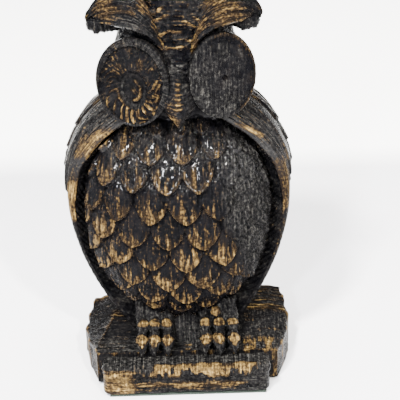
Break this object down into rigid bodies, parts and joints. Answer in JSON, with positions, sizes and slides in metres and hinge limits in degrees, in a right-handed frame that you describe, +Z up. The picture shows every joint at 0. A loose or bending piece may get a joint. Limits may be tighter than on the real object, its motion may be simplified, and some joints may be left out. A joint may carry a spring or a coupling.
{
  "type": "owl book end",
  "caption": "Standing carved owl with a flat back on a chamfered block base, finished in black enamel with dry-brushed gold, used to hold up a row of books.",
  "frame": {"origin": "middle of the underside's bounding box, on the surface it stands on", "axes": "+Z up, the owl looks along -Y, and the flat back that the books lean on faces +Y; +X is on the right of someone facing the owl"},
  "size_m": [0.1048, 0.072, 0.1883],
  "materials": {
    "black_gold_enamel": "glossy black enamel over a carved or moulded wood body, with gold paint dry-brushed on the raised edges",
    "worn_enamel": "matt, worn dark grey with the relief rubbed away",
    "green_felt": "pressed wool felt",
    "screw_steel": "plain steel",
    "weight_iron": "rough cast",
    "beech_dowel": "plain turned dowel"
  },
  "bodies": {
    "root": {"base_felt": "green_felt", "base_block": "black_gold_enamel", "front_step": "black_gold_enamel", "base_weight": "weight_iron", "base_screw_left": "screw_steel", "base_screw_right": "screw_steel", "step_dowel_left": "beech_dowel", "step_dowel_right": "beech_dowel", "torso": "black_gold_enamel", "foot_left": "black_gold_enamel", "foot_right": "black_gold_enamel", "wing_left": "black_gold_enamel", "wing_right": "black_gold_enamel", "wing_dowel_left_lower": "beech_dowel", "wing_dowel_left_upper": "beech_dowel", "wing_dowel_right_lower": "beech_dowel", "wing_dowel_right_upper": "beech_dowel", "neck_dowel": "beech_dowel", "head": "black_gold_enamel", "beak": "black_gold_enamel", "eye_left": "black_gold_enamel", "eye_right": "worn_enamel", "eye_pin_left": "screw_steel", "eye_pin_right": "screw_steel"}
  },
  "joints": []
}
